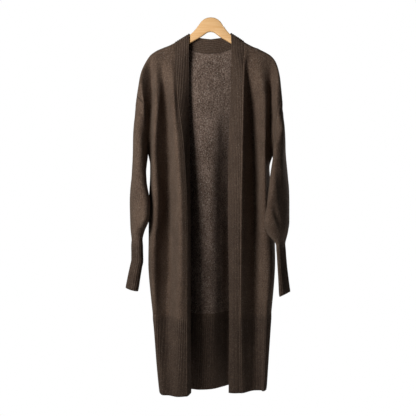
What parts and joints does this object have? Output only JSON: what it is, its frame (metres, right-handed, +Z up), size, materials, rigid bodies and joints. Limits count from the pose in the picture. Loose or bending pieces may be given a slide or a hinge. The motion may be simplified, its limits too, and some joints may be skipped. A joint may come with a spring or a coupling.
{
  "type": "duster cardigan on a wooden hanger",
  "caption": "Long open knit cardigan with dropped shoulders, ribbed front band, deep ribbed hem and long ribbed cuffs, hanging on a flat wooden hanger.",
  "frame": {"origin": "top of the hanger, at the mouth of the socket that its hook screws into", "axes": "+Z up, the garment's front faces -Y, +X towards the wearer's left side"},
  "size_m": [0.4954, 0.1904, 1.1201],
  "materials": {
    "knit": "soft fuzzy plain knit, dark brown-grey melange wool",
    "rib_knit": "ribbed knit of the same melange wool",
    "wood": "smooth pale beech, satin clear varnish"
  },
  "bodies": {
    "root": {"back": "knit", "front_right": "knit", "front_left": "knit", "sleeve_right": "knit", "sleeve_left": "knit", "hem_back": "rib_knit", "hem_right": "rib_knit", "hem_left": "rib_knit", "cuff_right": "rib_knit", "cuff_left": "rib_knit", "band_right": "rib_knit", "band_left": "rib_knit", "hanger": "wood"}
  },
  "joints": []
}
